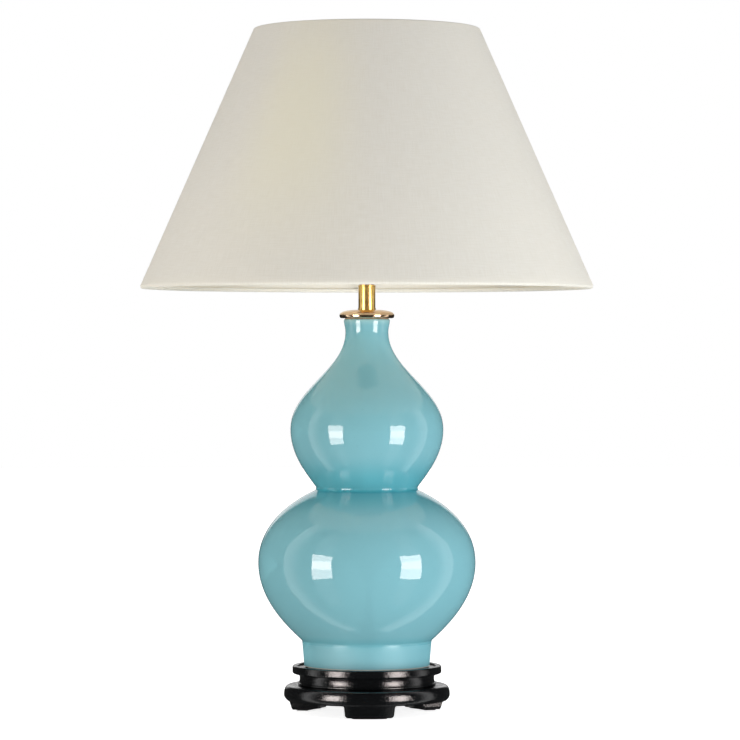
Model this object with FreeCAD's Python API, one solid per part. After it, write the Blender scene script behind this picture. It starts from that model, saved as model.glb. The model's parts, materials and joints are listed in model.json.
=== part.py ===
"""Double gourd table lamp: glazed ceramic body on a turned wooden stand with three feet, a short
brass stem, a switched lampholder with its bulb, and a cone-shaped fabric shade on a three-arm carrier.

Millimetres, +Z up. The origin is on the lamp's axis, on the surface that the feet rest on.
Every height is stacked up from the floor: pads, stand, vase, cap, stem, lampholder, shade.
"""
import FreeCAD, Part
import math
import os

# --- general clearances -------------------------------------------------------------------------
RUNNING = 0.1            # radial clearance of a part that turns or slides in a hole
REST_GAP = 0.3           # gap between a part that moves and the seat that it rests on
THREAD_FIT = 0.05        # radial clearance of a plain nut bore on the plain rod
LOOSE_HOLE = 0.4         # radial clearance of a hole that a rod only passes through
LOCATING = 0.5           # clearance of a spigot or ring in its recess
CUT_PAST = 10.0          # how far a cutting shape runs on past the piece
SAME = 1e-4              # lengths closer than this count as equal

# --- stand: three turned rings ------------------------------------------------------------------
foot_count = 3
pad_thickness = 1.2
pad_inset = 3.5
apron_height = 13.4      # wooden foot, from the pad up to the lower edge of the apron
leg_ring_height = 30.4
leg_ring_bulge_r = 93.3
leg_ring_bulge_height = 19.5
leg_ring_apron_r = 89.9
foot_toe_r = 85.4
foot_flare_in = 1.5      # pole of the foot's hollow outline, inward from the apron's edge
foot_flare_drop = 4.5    # and down from it
bulge_root_rise = 3.0    # how far above the apron the bulge turns upright
shoulder_round = 7.0
foot_half_angle = 18.4
foot_corner_round = 3.6
apron_corner_round = 2.0
waist_height = 12.2
waist_r = 76.4
waist_wall = 10.5
waist_cove = 0.8
waist_bead_height = 2.8
waist_bead_out = 1.2
tray_r = 83.7
tray_rim_height = 7.3
tray_cove_height = 2.2
tray_rim_round = 1.8
tray_lip_width = 6.2
tray_recess = 2.0

# --- cable entry at the back of the waist -------------------------------------------------------
grommet_bore_r = 3.3
grommet_wall = 1.2
grommet_flange_thickness = 1.6

# --- vase ---------------------------------------------------------------------------------------
seat_ring_thickness = 1.0
seat_ring_width = 8.0
vase_wall = 5.0
vase_floor = 7.0
vase_foot_bottom_r = 70.4
vase_foot_top_r = 72.9
vase_foot_width = 12.0
vase_foot_recess = 5.0
vase_foot_height = 29.0
vase_foot_chamfer = 0.8
lower_bulb_r = 122.2
lower_bulb_rise = 87.7   # from the crease above the foot to the widest place
waist_crease_r = 55.6
waist_crease_rise = 82.3 # each rise starts where the one before it ends
upper_bulb_r = 85.9
upper_bulb_rise = 66.7
neck_r = 24.1
neck_rise = 109.6
lip_r = 26.0
lip_rise = 14.9
lip_round = 2.0
crease_round = 3.0
foot_crease_round = 2.5
rod_hole_r = 8.0
# slopes of the outline where the bulbs meet the foot and the crease, in degrees from level
foot_slope = 42.1
lower_shoulder_slope = 24.0
upper_root_slope = 56.0
# lengths of the curve handles: how far each stretch keeps its starting direction
foot_reach = 34.3
lower_belly_reach = 36.5
lower_shoulder_reach = 43.1
lower_crease_reach = 31.4
upper_crease_reach = 15.6
upper_belly_reach = 30.8
upper_shoulder_reach = 46.2
neck_reach = 42.0
lip_reach = 6.0

# --- vase cap and brass stem --------------------------------------------------------------------
gasket_thickness = 0.8
gasket_inset = 1.5
cap_r = 30.8
cap_edge_height = 3.2
cap_dome_height = 9.3
cap_crown_r = 16.0
cap_shelf_out = 2.5      # flat underside past the vase's lip
cap_edge_fall = 1.6      # where the dome's curve leaves its upright edge, below the crown
cap_crown_reach = 6.0    # how far out the crown stays nearly level
cap_crown_fall = 0.6
cap_spigot_depth = 5.0
tube_r = 9.5
tube_wall = 1.2
tube_length = 23.7
tube_collar_height = 2.2
tube_collar_out = 0.5
tube_collar_round = 0.5
tube_spigot_depth = 4.0
top_washer_r = 9.9
top_washer_thickness = 1.5
top_washer_round = 0.4

# --- hollow threaded rod and its fasteners ------------------------------------------------------
rod_r = 5.0
rod_bore_r = 3.5
rod_tail = 4.0
rod_grip_in_holder = 9.0
stand_washer_r = 17.0
stand_washer_thickness = 2.0
lock_washer_r = 8.0
lock_washer_thickness = 2.0
lock_washer_slit = 1.6
nut_across_flats = 14.0
nut_height = 7.0
nut_chamfer = 1.2

# --- lampholder ---------------------------------------------------------------------------------
holder_sheet = 1.0
holder_neck_r = 8.5
holder_neck_height = 9.0
holder_cap_r = 20.5
holder_dome_height = 9.0
holder_skirt_height = 7.0
shell_r = 19.45
shell_overlap = 4.5
shell_to_shoulder = 19.0 # from the skirt's lip up to the top of the shoulder
shoulder_r = 23.8
shoulder_thickness = 2.0
shell_above_shoulder = 23.0
shell_lip_round = 0.6
block_to_bar = 8.0
block_above_bar = 8.0
bar_r = 2.5
button_r = 3.4
button_length = 13.0
button_round = 1.4
button_least_out = 3.0
switch_travel = 4.0
sleeve_step = 2.0
liner_sheet = 0.8
liner_setback = 1.5
strip_width = 8.0
strip_sheet = 0.6
strip_spring = 3.0
strip_overhang = 2.0
block_chamfer = 1.0
terminal_screw_r = 1.7
terminal_head_r = 3.0
terminal_head_height = 1.8
terminal_slot = 0.8
terminal_spacing = 11.0
grub_screw_r = 1.5
grub_screw_length = 2.4
grub_slot_width = 0.6
grub_slot_depth = 0.8

# --- bulb: 60 mm globe on a 26 mm screw cap -----------------------------------------------------
bulb_globe_r = 30.0
bulb_length = 107.0
bulb_glass = 0.8
bulb_cap_r = 13.2
bulb_cap_sheet = 0.5
bulb_cap_height = 23.0
bulb_cap_foot_r = 10.2
bulb_cap_taper = 3.0
bulb_neck_r = 12.2
bulb_neck_in_cap = 5.0
bulb_flare_r = 15.5
bulb_flare_rise = 10.7
bulb_flare_reach = 12.0
bulb_join_angle = -38.0  # where the flare meets the globe, in degrees from level
bulb_contact_r = 5.0
bulb_contact_height = 1.0
bulb_contact_round = 0.8
bulb_insulator_height = 4.5
bulb_stem_r = 4.5
bulb_stem_height = 42.0
bulb_stem_flare_r = 11.0
bulb_stem_flare_height = 6.0
filament_r = 0.9
filament_length = 32.0
filament_circle_r = 7.0
filament_count = 4

# --- shade carrier ------------------------------------------------------------------------------
fitter_bore_r = 20.2
fitter_thickness = 2.0
fitter_round = 0.7
fitter_drop = 48.0       # from the seat on the lampholder down to the shade's lower edge
strut_count = 3
strut_r = 1.9
strut_let_in = 1.0       # how far an arm is let into the fitter ring's edge
strut_flat = 12.0
strut_bend_r = 14.0
clamp_ring_r = 27.0
clamp_ring_flange = 2.2
clamp_ring_round = 0.7
clamp_ring_collar_r = 23.5
clamp_ring_height = 8.5
clamp_grip_count = 24
clamp_grip_r = 0.9

# --- shade --------------------------------------------------------------------------------------
shade_height = 292.2
shade_bottom_r = 255.6
shade_top_r = 126.8
shade_fabric_thickness = 0.8
shade_lining_thickness = 0.6
shade_wire_r = 1.75
hem_slack = 0.1          # between the wire and the fabric rolled round it
hem_tuck_angle = 30.0    # how far the rolled edge goes on past the inside of the wire
lining_setback = 1.0
strut_bite = 0.6         # how far an arm would reach into the lower wire before it is notched round it

# --- heights worked out from the stack ----------------------------------------------------------
stand_z = pad_thickness
leg_ring_top_z = stand_z + leg_ring_height
waist_top_z = leg_ring_top_z + waist_height
tray_top_z = waist_top_z + tray_cove_height + tray_rim_height
tray_floor_z = tray_top_z - tray_recess
vase_z = tray_floor_z + seat_ring_thickness
foot_crease_z = vase_z + vase_foot_height
belly_z = foot_crease_z + lower_bulb_rise
crease_z = belly_z + waist_crease_rise
chest_z = crease_z + upper_bulb_rise
neck_z = chest_z + neck_rise
lip_z = neck_z + lip_rise
cap_z = lip_z + gasket_thickness
cap_top_z = cap_z + cap_dome_height
tube_top_z = cap_top_z + tube_collar_height + tube_length
holder_z = tube_top_z + top_washer_thickness
skirt_z = holder_z + holder_neck_height + holder_dome_height
joint_z = skirt_z + holder_skirt_height
shoulder_z = joint_z + shell_to_shoulder
shell_bottom_z = joint_z - shell_overlap
shell_top_z = shoulder_z + shell_above_shoulder
rod_top_z = holder_z + rod_grip_in_holder
grommet_z = leg_ring_top_z + waist_height / 2
tray_underside_z = grommet_z + grommet_bore_r + LOCATING
nut_z = tray_underside_z - stand_washer_thickness - lock_washer_thickness - nut_height
rod_bottom_z = nut_z - rod_tail
bar_z = joint_z + shell_overlap
block_bottom_z = bar_z - block_to_bar
block_top_z = bar_z + block_above_bar
contact_z = block_top_z + strip_sheet + strip_spring
bulb_z = contact_z + REST_GAP
fitter_z = shoulder_z + REST_GAP
clamp_z = fitter_z + fitter_thickness + REST_GAP
shade_z = shoulder_z + REST_GAP - fitter_drop
shade_top_z = shade_z + shade_height
liner_bore_r = bulb_cap_r + RUNNING
block_r = shell_r - holder_sheet - THREAD_FIT
fitter_r = clamp_ring_r + REST_GAP + strut_let_in

BACK = 90.0              # direction of the cable entry and of one arm of the carrier, in degrees
FRONT = -90.0            # direction of the first foot


# --- helpers ------------------------------------------------------------------------------------
def at(r, z):
    """A point of a profile in the X-Z plane."""
    return FreeCAD.Vector(r, 0, z)


def line(a, b):
    return Part.LineSegment(a, b).toShape()


def arc(a, middle, b):
    return Part.Arc(a, middle, b).toShape()


def bezier(*poles):
    curve = Part.BezierCurve()
    curve.setPoles(list(poles))
    return curve.toShape()


def step(point, angle, length):
    """The point that lies a length away in a direction, in degrees from level, outward and up."""
    turn = math.radians(angle)
    return at(point.x + length * math.cos(turn), point.z + length * math.sin(turn))


def polar(r, angle, z=0.0):
    turn = math.radians(angle)
    return FreeCAD.Vector(r * math.cos(turn), r * math.sin(turn), z)


def spin(edges, sweep=360.0):
    """A solid of revolution about Z from the edges of a closed profile."""
    face = Part.Face(Part.Wire(Part.__sortEdges__(edges)))
    solid = face.revolve(FreeCAD.Vector(), FreeCAD.Vector(0, 0, 1), sweep)
    if solid.Volume < 0:
        solid.reverse()
    return solid


def turned(points, sweep=360.0):
    """A solid of revolution from the corners of a straight-sided profile, given as (r, z)."""
    corners = [at(r, z) for r, z in points]
    return spin([line(a, b) for a, b in zip(corners, corners[1:] + corners[:1])], sweep)


def ring(inner_r, outer_r, low_z, high_z, sweep=360.0):
    return turned([(inner_r, low_z), (outer_r, low_z), (outer_r, high_z), (inner_r, high_z)], sweep)


def rod(radius, length, start, direction):
    return Part.makeCylinder(radius, length, start, direction)


def around(shape, angle):
    copy = shape.copy()
    copy.rotate(FreeCAD.Vector(), FreeCAD.Vector(0, 0, 1), angle)
    return copy


def pattern(shape, count, first=0.0):
    """Copies of a shape, evenly spaced about the lamp's axis."""
    return [around(shape, first + i * 360.0 / count) for i in range(count)]


def level_with(edge, z):
    return abs(edge.BoundBox.ZMin - z) < SAME and abs(edge.BoundBox.ZMax - z) < SAME


def square_to_x(edge, x):
    return abs(edge.BoundBox.XMin - x) < SAME and abs(edge.BoundBox.XMax - x) < SAME


def is_straight(edge):
    return isinstance(edge.Curve, Part.Line)


def circles_at(shape, r, z):
    """The circular edges of a shape that lie at a radius and a height."""
    return [e for e in shape.Edges if level_with(e, z) and abs(e.BoundBox.XMax - r) < SAME]


def save(name, *solids):
    shape = solids[0] if len(solids) == 1 else Part.makeCompound(list(solids))
    shape.exportStep("parts/" + name + ".step")


# --- stand --------------------------------------------------------------------------------------
def leg_ring():
    """Bulging ring whose lower part is cut away between the feet."""
    inner_r = waist_r - waist_wall
    bulge_z = stand_z + leg_ring_bulge_height
    apron_z = stand_z + apron_height
    ledge_r = leg_ring_bulge_r - shoulder_round
    outline = [
        line(at(inner_r, stand_z), at(foot_toe_r, stand_z)),
        bezier(at(foot_toe_r, stand_z), at(leg_ring_apron_r - foot_flare_in, apron_z - foot_flare_drop),
               at(leg_ring_apron_r, apron_z)),
        bezier(at(leg_ring_apron_r, apron_z), at(leg_ring_bulge_r, apron_z + bulge_root_rise),
               at(leg_ring_bulge_r, bulge_z)),
        bezier(at(leg_ring_bulge_r, bulge_z), at(leg_ring_bulge_r, leg_ring_top_z),
               at(ledge_r, leg_ring_top_z)),
        line(at(ledge_r, leg_ring_top_z), at(inner_r, leg_ring_top_z)),
        line(at(inner_r, leg_ring_top_z), at(inner_r, stand_z)),
    ]
    body = spin(outline)
    spacing = 360.0 / foot_count
    gap = ring(inner_r - CUT_PAST, leg_ring_bulge_r + CUT_PAST, stand_z - CUT_PAST, apron_z,
               spacing - 2 * foot_half_angle)
    corners = [e for e in gap.Edges if level_with(e, apron_z) and is_straight(e)]
    gap = gap.makeFillet(apron_corner_round, corners)
    for cutter in pattern(gap, foot_count, FRONT + foot_half_angle):
        body = body.cut(cutter)
    foot_edges = [e for e in body.Edges if level_with(e, stand_z) and is_straight(e)]
    return body.makeFillet(foot_corner_round, foot_edges)


def foot_pads():
    """A felt pad under each foot, set in from the foot's edges."""
    inner_r = waist_r - waist_wall + pad_inset
    outer_r = foot_toe_r - pad_inset
    set_in = math.degrees((pad_inset + foot_corner_round) / foot_toe_r)
    half = foot_half_angle - set_in
    return pattern(ring(inner_r, outer_r, 0, pad_thickness, 2 * half), foot_count, FRONT - half)


def waist_ring():
    """Short coved ring with a bead at its foot and a hole for the cable at the back."""
    inner_r = waist_r - waist_wall
    bead_z = leg_ring_top_z + waist_bead_height
    bead_r = waist_r + waist_bead_out
    middle_z = (bead_z + waist_top_z) / 2
    outline = [
        line(at(inner_r, leg_ring_top_z), at(waist_r, leg_ring_top_z)),
        arc(at(waist_r, leg_ring_top_z), at(bead_r, (leg_ring_top_z + bead_z) / 2), at(waist_r, bead_z)),
        arc(at(waist_r, bead_z), at(waist_r - waist_cove, middle_z), at(waist_r, waist_top_z)),
        line(at(waist_r, waist_top_z), at(inner_r, waist_top_z)),
        line(at(inner_r, waist_top_z), at(inner_r, leg_ring_top_z)),
    ]
    body = spin(outline)
    return body.cut(grommet_blank())


def grommet_blank():
    """Bush and flange without the bore, as the hole that they are pressed into."""
    inner_y = waist_r - waist_wall
    flange_y = waist_r - waist_cove - grommet_flange_thickness / 2
    flange_r = waist_height / 2 - REST_GAP
    outward = FreeCAD.Vector(0, 1, 0)
    start = FreeCAD.Vector(0, inner_y, grommet_z)
    bush = rod(grommet_bore_r + grommet_wall, flange_y - inner_y, start, outward)
    flange = rod(flange_r, grommet_flange_thickness + waist_bead_out,
                 FreeCAD.Vector(0, flange_y, grommet_z), outward)
    return bush.fuse(flange)


def cable_grommet():
    start = FreeCAD.Vector(0, waist_r - waist_wall, grommet_z)
    bore = rod(grommet_bore_r, waist_r, start, FreeCAD.Vector(0, 1, 0))
    return grommet_blank().cut(bore).removeSplitter()


def tray():
    """Disc that the vase stands in: a rim with a raised lip, and a spigot that locates in the waist."""
    spigot_r = waist_r - waist_wall - LOCATING
    floor_r = tray_r - tray_lip_width
    rim_z = waist_top_z + tray_cove_height
    hole_r = rod_r + LOOSE_HOLE
    outline = [
        line(at(hole_r, tray_underside_z), at(spigot_r, tray_underside_z)),
        line(at(spigot_r, tray_underside_z), at(spigot_r, waist_top_z)),
        line(at(spigot_r, waist_top_z), at(waist_r, waist_top_z)),
        bezier(at(waist_r, waist_top_z), at(tray_r, waist_top_z), at(tray_r, rim_z)),
        line(at(tray_r, rim_z), at(tray_r, tray_top_z)),
        line(at(tray_r, tray_top_z), at(floor_r, tray_top_z)),
        line(at(floor_r, tray_top_z), at(floor_r, tray_floor_z)),
        line(at(floor_r, tray_floor_z), at(hole_r, tray_floor_z)),
        line(at(hole_r, tray_floor_z), at(hole_r, tray_underside_z)),
    ]
    body = spin(outline)
    rim_edges = circles_at(body, tray_r, tray_top_z) + circles_at(body, floor_r, tray_top_z)
    return body.makeFillet(tray_rim_round, rim_edges)


def seat_ring():
    outer_r = vase_foot_bottom_r - (vase_foot_width - seat_ring_width) / 2
    return ring(outer_r - seat_ring_width, outer_r, tray_floor_z, vase_z)


# --- vase ---------------------------------------------------------------------------------------
def bulb_outline(inset):
    """The two bulbs' outline, as curves from the foot to the neck, moved in along its normals."""
    foot = at(vase_foot_top_r, foot_crease_z)
    belly = at(lower_bulb_r, belly_z)
    crease = at(waist_crease_r, crease_z)
    chest = at(upper_bulb_r, chest_z)
    neck = at(neck_r, neck_z)
    shrink = 1 - inset / upper_bulb_r
    ends = [
        (foot, foot_slope, foot_reach, belly, 90.0, lower_belly_reach),
        (belly, 90.0, lower_shoulder_reach, crease, 180.0 - lower_shoulder_slope, lower_crease_reach),
        (crease, upper_root_slope, upper_crease_reach, chest, 90.0, upper_belly_reach),
        (chest, 90.0, upper_shoulder_reach, neck, 90.0, neck_reach),
    ]
    curves = []
    for start, start_angle, start_reach, end, end_angle, end_reach in ends:
        a = step(start, start_angle + 90.0, inset)
        b = step(end, end_angle + 90.0, inset)
        leaving = step(a, start_angle, start_reach * shrink)
        arriving = step(b, end_angle, -end_reach * shrink)
        curves.append((a, leaving, arriving, b))
    return curves


def vase():
    """Thrown ceramic shell: foot ring, two bulbs with a crease between them, a neck and a rolled lip."""
    low, lower, upper, top = bulb_outline(0.0)
    lip = at(lip_r, lip_z)
    neck = top[3]
    foot_bottom = at(vase_foot_bottom_r, vase_z)
    outer = spin(
        [
            line(at(0, vase_z), foot_bottom),
            line(foot_bottom, low[0]),
            bezier(*low),
            bezier(*lower),
            bezier(*upper),
            bezier(*top),
            bezier(neck, at(neck.x, neck.z + lip_reach), at(lip.x, lip.z - lip_reach), lip),
            line(lip, at(0, lip_z)),
            line(at(0, lip_z), at(0, vase_z)),
        ]
    )
    outer = outer.makeFillet(crease_round, circles_at(outer, waist_crease_r, crease_z))
    outer = outer.makeFillet(foot_crease_round, circles_at(outer, vase_foot_top_r, foot_crease_z))
    outer = outer.makeFillet(lip_round, circles_at(outer, lip_r, lip_z))
    outer = outer.makeChamfer(vase_foot_chamfer, circles_at(outer, vase_foot_bottom_r, vase_z))
    rod_hole = rod(rod_hole_r, lip_z - vase_z, at(0, vase_z), FreeCAD.Vector(0, 0, 1))
    return outer.cut(vase_hollow()).cut(vase_foot_hollow()).cut(rod_hole)


def vase_hollow():
    """The space inside, one wall thickness in from the outline."""
    low, lower, upper, top = bulb_outline(vase_wall)
    bend = at(waist_crease_r - vase_wall, crease_z)
    floor_z = vase_z + vase_foot_recess + vase_floor
    root = at(vase_foot_top_r - vase_wall, floor_z)
    neck = top[3]
    above = lip_z + vase_wall
    edges = [
        line(at(0, floor_z), root),
        bezier(root, at(root.x, low[0].z), low[0]),
        bezier(*low),
        bezier(*lower),
        arc(lower[3], bend, upper[0]),
        bezier(*upper),
        bezier(*top),
        line(neck, at(neck.x, above)),
        line(at(neck.x, above), at(0, above)),
        line(at(0, above), at(0, floor_z)),
    ]
    return spin(edges)


def vase_foot_hollow():
    hollow_r = vase_foot_bottom_r - vase_foot_width
    return rod(hollow_r, CUT_PAST + vase_foot_recess, at(0, vase_z - CUT_PAST), FreeCAD.Vector(0, 0, 1))


# --- cap and stem -------------------------------------------------------------------------------
def mouth_r():
    return neck_r - vase_wall


def mouth_gasket():
    return ring(mouth_r(), lip_r - gasket_inset, lip_z, cap_z)


def vase_cap():
    """Low domed disc with a full round edge and a spigot that centres it in the vase's mouth."""
    hole_r = rod_r + LOOSE_HOLE
    spigot_r = mouth_r() - LOCATING
    edge_z = cap_z + cap_edge_height
    shelf_r = lip_r + cap_shelf_out
    outline = [
        line(at(hole_r, cap_z - cap_spigot_depth), at(spigot_r, cap_z - cap_spigot_depth)),
        line(at(spigot_r, cap_z - cap_spigot_depth), at(spigot_r, cap_z)),
        line(at(spigot_r, cap_z), at(shelf_r, cap_z)),
        bezier(at(shelf_r, cap_z), at(cap_r, cap_z), at(cap_r, edge_z)),
        bezier(at(cap_r, edge_z), at(cap_r, cap_top_z - cap_edge_fall),
               at(cap_crown_r + cap_crown_reach, cap_top_z - cap_crown_fall), at(cap_crown_r, cap_top_z)),
        line(at(cap_crown_r, cap_top_z), at(hole_r, cap_top_z)),
        line(at(hole_r, cap_top_z), at(hole_r, cap_z - cap_spigot_depth)),
    ]
    return spin(outline)


def tube_collar():
    """Turned ring that closes the foot of the stem tube and centres it on the rod."""
    hole_r = rod_r + THREAD_FIT
    collar_r = tube_r + tube_collar_out
    spigot_r = tube_r - tube_wall - THREAD_FIT
    step_z = cap_top_z + tube_collar_height
    spigot_z = step_z + tube_spigot_depth
    body = turned([(hole_r, cap_top_z), (collar_r, cap_top_z), (collar_r, step_z), (spigot_r, step_z),
                   (spigot_r, spigot_z), (hole_r, spigot_z)])
    return body.makeFillet(tube_collar_round, circles_at(body, collar_r, step_z))


def stem_tube():
    return ring(tube_r - tube_wall, tube_r, cap_top_z + tube_collar_height, tube_top_z)


def top_washer():
    hole_r = rod_r + THREAD_FIT
    body = ring(hole_r, top_washer_r, tube_top_z, holder_z)
    return body.makeFillet(top_washer_round, circles_at(body, top_washer_r, tube_top_z))


def threaded_rod():
    return ring(rod_bore_r, rod_r, rod_bottom_z, rod_top_z)


def stand_washer():
    bottom_z = tray_underside_z - stand_washer_thickness
    return ring(rod_r + LOOSE_HOLE, stand_washer_r, bottom_z, tray_underside_z)


def lock_washer():
    """Split spring washer, drawn down flat."""
    high = tray_underside_z - stand_washer_thickness
    body = ring(rod_r + LOOSE_HOLE, lock_washer_r, high - lock_washer_thickness, high)
    slit = Part.makeBox(lock_washer_r, lock_washer_slit, lock_washer_thickness,
                        FreeCAD.Vector(0, -lock_washer_slit / 2, high - lock_washer_thickness))
    return body.cut(slit)


def hex_nut():
    """Hexagon nut, its corners turned off at both ends."""
    corner_r = nut_across_flats / math.sqrt(3)
    points = [polar(corner_r, 60.0 * i, nut_z) for i in range(7)]
    body = Part.Face(Part.makePolygon(points)).extrude(FreeCAD.Vector(0, 0, nut_height))
    high = nut_z + nut_height
    turned_r = corner_r - nut_chamfer
    envelope = turned([(0, nut_z), (turned_r, nut_z), (corner_r, nut_z + nut_chamfer / 2),
                       (corner_r, high - nut_chamfer / 2), (turned_r, high), (0, high)])
    bore = rod(rod_r + THREAD_FIT, nut_height, FreeCAD.Vector(0, 0, nut_z), FreeCAD.Vector(0, 0, 1))
    return body.common(envelope).cut(bore)


# --- lampholder ---------------------------------------------------------------------------------
def holder_cap():
    """Spun cap: a neck that screws on the rod, a dome and a skirt."""
    neck_z = holder_z + holder_neck_height
    inner_r = holder_cap_r - holder_sheet
    hole_r = rod_r + THREAD_FIT
    sheet = holder_sheet
    outline = [
        line(at(hole_r, holder_z), at(holder_neck_r, holder_z)),
        line(at(holder_neck_r, holder_z), at(holder_neck_r, neck_z)),
        bezier(at(holder_neck_r, neck_z), at(holder_cap_r, neck_z), at(holder_cap_r, skirt_z)),
        line(at(holder_cap_r, skirt_z), at(holder_cap_r, joint_z)),
        line(at(holder_cap_r, joint_z), at(inner_r, joint_z)),
        line(at(inner_r, joint_z), at(inner_r, skirt_z)),
        bezier(at(inner_r, skirt_z), at(inner_r, neck_z + sheet), at(holder_neck_r, neck_z + sheet)),
        line(at(holder_neck_r, neck_z + sheet), at(hole_r, neck_z + sheet)),
        line(at(hole_r, neck_z + sheet), at(hole_r, holder_z)),
    ]
    screw_hole = rod(grub_screw_r, holder_neck_r, FreeCAD.Vector(0, 0, grub_z()), polar(1, BACK))
    return spin(outline).cut(screw_hole)


def grub_z():
    return holder_z + holder_neck_height / 2


def grub_screw():
    """Headless screw that locks the lampholder on the rod, with a slot in its outer end."""
    start = polar(rod_r + THREAD_FIT, BACK, grub_z())
    body = rod(grub_screw_r, grub_screw_length, start, polar(1, BACK))
    end_y = rod_r + THREAD_FIT + grub_screw_length
    slot = Part.makeBox(2 * grub_screw_r, grub_slot_depth, grub_slot_width,
                        FreeCAD.Vector(-grub_screw_r, end_y - grub_slot_depth,
                                       grub_z() - grub_slot_width / 2))
    return body.cut(slot)


def holder_shell():
    """Straight outer shell with a shoulder for the shade carrier and holes for the switch bar."""
    inner_r = shell_r - holder_sheet
    ledge_z = shoulder_z - shoulder_thickness
    body = turned([(inner_r, shell_bottom_z), (shell_r, shell_bottom_z), (shell_r, ledge_z),
                   (shoulder_r, ledge_z), (shoulder_r, shoulder_z), (shell_r, shoulder_z),
                   (shell_r, shell_top_z), (inner_r, shell_top_z)])
    body = body.makeFillet(shell_lip_round / 2, circles_at(body, shell_r, shell_top_z))
    body = body.makeFillet(shell_lip_round, circles_at(body, shoulder_r, ledge_z))
    return body.cut(bar_passage())


def bar_passage():
    length = 4 * shell_r
    return rod(button_r + RUNNING, length, FreeCAD.Vector(-length / 2, 0, bar_z), FreeCAD.Vector(1, 0, 0))


def terminal_block():
    """Moulded block with a cross passage for the switch bar and seats for the terminal screws."""
    body = Part.makeCylinder(block_r, block_top_z - block_bottom_z, at(0, block_bottom_z))
    body = body.makeChamfer(block_chamfer, circles_at(body, block_r, block_bottom_z))
    for x, y in terminal_places():
        body = body.cut(rod(terminal_screw_r, terminal_depth(), FreeCAD.Vector(x, y, block_bottom_z),
                            FreeCAD.Vector(0, 0, 1)))
    wire_way = rod(rod_bore_r, block_to_bar, at(0, block_bottom_z), FreeCAD.Vector(0, 0, 1))
    return body.cut(bar_passage()).cut(wire_way)


def terminal_places():
    return [(0, -terminal_spacing), (0, terminal_spacing)]


def terminal_depth():
    return block_to_bar - button_r


def terminal_screws():
    screws = []
    for x, y in terminal_places():
        head_z = block_bottom_z - terminal_head_height
        seat = FreeCAD.Vector(x, y, head_z)
        head = rod(terminal_head_r, terminal_head_height, seat, FreeCAD.Vector(0, 0, 1))
        shank = rod(terminal_screw_r, terminal_depth(), FreeCAD.Vector(x, y, block_bottom_z),
                    FreeCAD.Vector(0, 0, 1))
        slot = Part.makeBox(2 * terminal_head_r, terminal_slot, terminal_slot,
                            FreeCAD.Vector(x - terminal_head_r, y - terminal_slot / 2, head_z))
        screws.append(head.fuse(shank).cut(slot).removeSplitter())
    return screws


def centre_contact():
    """Springy strip: flat on the block, folded up and back under the bulb's contact."""
    reach = bulb_contact_r + strip_overhang
    low = block_top_z
    high = contact_z
    t = strip_sheet
    outline = [
        (-reach, low), (reach, low), (reach, low + t), (-reach + t, low + t), (-reach + t, high - t),
        (bulb_contact_r, high - t), (bulb_contact_r, high), (-reach, high),
    ]
    points = [FreeCAD.Vector(x, -strip_width / 2, z) for x, z in outline]
    face = Part.Face(Part.makePolygon(points + points[:1]))
    return face.extrude(FreeCAD.Vector(0, strip_width, 0))


def insulating_sleeve():
    """Moulded sleeve between the screw shell and the brass shell, stepped to hold the screw shell."""
    step_r = liner_bore_r - sleeve_step
    seat_z = block_top_z + sleeve_step
    top_z = shell_top_z - liner_setback
    outer_r = liner_bore_r + liner_sheet
    return turned([(step_r, block_top_z), (block_r, block_top_z), (block_r, top_z), (outer_r, top_z),
                   (outer_r, seat_z), (step_r, seat_z)])


def screw_liner():
    seat_z = block_top_z + sleeve_step
    return ring(liner_bore_r, liner_bore_r + liner_sheet, seat_z, shell_top_z - liner_setback)


def switch_bar():
    """The push bar, shown pushed towards -X, which is on."""
    length = 2 * (shell_r + button_least_out + switch_travel / 2) - 2 * button_length + 2 * button_round
    start = FreeCAD.Vector(-length / 2 - switch_travel / 2, 0, bar_z)
    return rod(bar_r, length, start, FreeCAD.Vector(1, 0, 0))


def switch_buttons():
    """A round-ended button on each end of the bar."""
    reach = shell_r + button_least_out + switch_travel / 2
    buttons = []
    for side in (-1, 1):
        outer_x = side * reach - switch_travel / 2
        body = rod(button_r, button_length, FreeCAD.Vector(outer_x, 0, bar_z), FreeCAD.Vector(-side, 0, 0))
        body = body.makeFillet(button_round, [e for e in body.Edges if square_to_x(e, outer_x)])
        socket = rod(bar_r, button_round, FreeCAD.Vector(outer_x - side * button_length, 0, bar_z),
                     FreeCAD.Vector(side, 0, 0))
        buttons.append(body.cut(socket))
    return buttons


# --- bulb ---------------------------------------------------------------------------------------
def bulb_glass_outline(inset):
    """Half outline of the envelope: its edges, then its end in the cap and its crown."""
    throat_r = bulb_neck_r - inset
    globe_r = bulb_globe_r - inset
    mouth_z = bulb_z + bulb_cap_height
    start = at(throat_r, mouth_z - bulb_neck_in_cap)
    mouth = at(throat_r, mouth_z)
    centre = at(0, bulb_z + bulb_length - bulb_globe_r)
    join = step(centre, bulb_join_angle, globe_r)
    flare = at(bulb_flare_r - inset, mouth_z + bulb_flare_rise)
    crown = step(centre, 90.0, globe_r)
    edges = [
        line(start, mouth),
        bezier(mouth, flare, step(join, bulb_join_angle + 90.0, -bulb_flare_reach), join),
        arc(join, step(centre, (bulb_join_angle + 90.0) / 2, globe_r), crown),
    ]
    return edges, start, crown


def bulb_globe():
    outer, outer_start, outer_top = bulb_glass_outline(0.0)
    inner, inner_start, inner_top = bulb_glass_outline(bulb_glass)
    return spin(outer + inner + [line(outer_start, inner_start), line(outer_top, inner_top)])


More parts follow.
